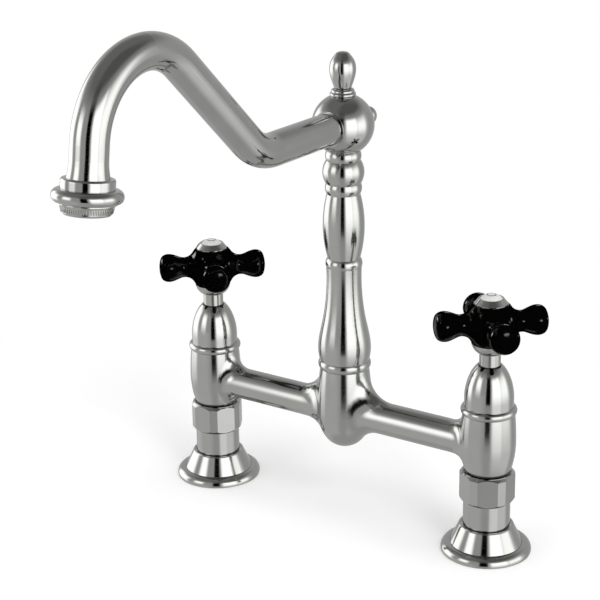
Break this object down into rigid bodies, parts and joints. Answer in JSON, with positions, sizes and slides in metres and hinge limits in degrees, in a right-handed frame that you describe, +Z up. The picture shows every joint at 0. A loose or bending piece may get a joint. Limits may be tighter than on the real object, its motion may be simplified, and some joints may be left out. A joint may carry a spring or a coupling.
{
  "type": "bridge kitchen faucet",
  "caption": "Deck-mounted bridge kitchen faucet: a cast bridge with cross-handled valves, a turned column and a swivelling bent spout with aerator.",
  "frame": {"origin": "midway between the two inlets, on the deck that the flanges stand on", "axes": "+X from the left valve to the right valve along the bridge, -Y along the spout at rest, towards the basin, +Z up the column"},
  "size_m": [0.2601, 0.2762, 0.333],
  "materials": {
    "cast_nickel": "satin nickel plate over cast brass",
    "turned_nickel": "satin nickel plate, brushed round the turned form",
    "polished_nickel": "polished nickel plate",
    "black_porcelain": "glossy glazed porcelain",
    "white_porcelain": "glossy glazed porcelain",
    "raw_brass": "machined brass, unplated",
    "valve_ceramic": "lapped ceramic",
    "seal_rubber": "moulded rubber",
    "stainless": "plain stainless steel",
    "white_plastic": "moulded plastic"
  },
  "bodies": {
    "bridge": {"flange_left": "turned_nickel", "riser_sleeve_left": "turned_nickel", "tailpiece_left": "raw_brass", "tail_washer_left": "seal_rubber", "union_nut_left": "turned_nickel", "seat_seal_left": "seal_rubber", "fixed_disc_left": "valve_ceramic", "cartridge_body_left": "raw_brass", "bonnet_left": "turned_nickel", "flange_right": "turned_nickel", "riser_sleeve_right": "turned_nickel", "tailpiece_right": "raw_brass", "tail_washer_right": "seal_rubber", "union_nut_right": "turned_nickel", "seat_seal_right": "seal_rubber", "fixed_disc_right": "valve_ceramic", "cartridge_body_right": "raw_brass", "bonnet_right": "turned_nickel", "bridge_body": "cast_nickel", "column_seal": "seal_rubber", "spout_column": "turned_nickel", "spout_o_ring_lower": "seal_rubber", "spout_o_ring_upper": "seal_rubber", "snap_ring": "stainless", "glide_washer": "white_plastic"},
    "handle_left": {"rotating_disc_left": "valve_ceramic", "valve_stem_left": "raw_brass", "stem_o_ring_left": "seal_rubber", "handle_skirt_left": "turned_nickel", "handle_cross_left": "black_porcelain", "handle_screw_left": "stainless", "index_bezel_left": "polished_nickel", "index_disc_left": "white_porcelain"},
    "handle_right": {"rotating_disc_right": "valve_ceramic", "valve_stem_right": "raw_brass", "stem_o_ring_right": "seal_rubber", "handle_skirt_right": "turned_nickel", "handle_cross_right": "black_porcelain", "handle_screw_right": "stainless", "index_bezel_right": "polished_nickel", "index_disc_right": "white_porcelain"},
    "spout": {"spout_hub": "turned_nickel", "spout_tube": "cast_nickel", "finial": "turned_nickel", "rear_plug": "turned_nickel", "outlet_collar": "polished_nickel", "aerator_gasket": "seal_rubber", "aerator_housing": "polished_nickel", "aerator_insert": "white_plastic"}
  },
  "joints": [
    {"name": "spout_swivel", "type": "hinge", "parent": "bridge", "child": "spout", "pos_m": [0, 0, 0.2506], "axis": [0, 0, 1], "continuous": true},
    {"name": "handle_left_turn", "type": "hinge", "parent": "bridge", "child": "handle_left", "pos_m": [-0.1016, 0, 0.1452], "axis": [0, 0, 1], "range_deg": [0, 90]},
    {"name": "handle_right_turn", "type": "hinge", "parent": "bridge", "child": "handle_right", "pos_m": [0.1016, 0, 0.1452], "axis": [0, 0, 1], "range_deg": [-90, 0]}
  ]
}
